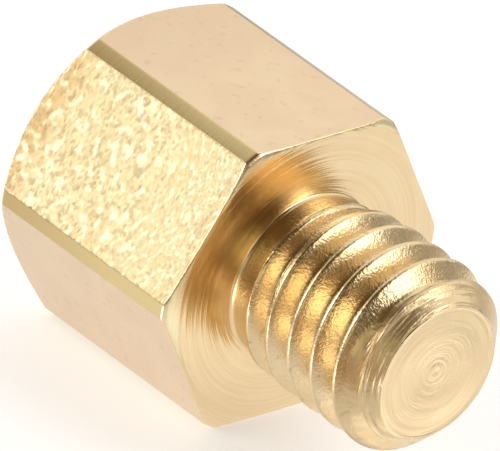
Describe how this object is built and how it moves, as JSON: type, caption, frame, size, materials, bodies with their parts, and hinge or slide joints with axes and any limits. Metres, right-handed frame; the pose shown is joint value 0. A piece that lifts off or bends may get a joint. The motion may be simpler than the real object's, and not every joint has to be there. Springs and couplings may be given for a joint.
{
  "type": "hex standoff",
  "caption": "Short hex brass spacer with a male thread on one end and a tapped hole in the other, for holding a board off its base.",
  "frame": {"origin": "centre of the shoulder face, on the axis that the hexagon, the stud and the tapped hole share", "axes": "+X along the axis, out of the tip of the stud; +Z square to one flat of the hexagon, upwards as the part lies on the opposite flat; +Y across the corners, completing a right-handed frame"},
  "size_m": [0.007, 0.005, 0.0046],
  "materials": {
    "brass": "bare drawn and turned brass, satin, with fine turning marks and one coarsely grained flat"
  },
  "bodies": {
    "root": {"hex_standoff": "brass"}
  },
  "joints": []
}
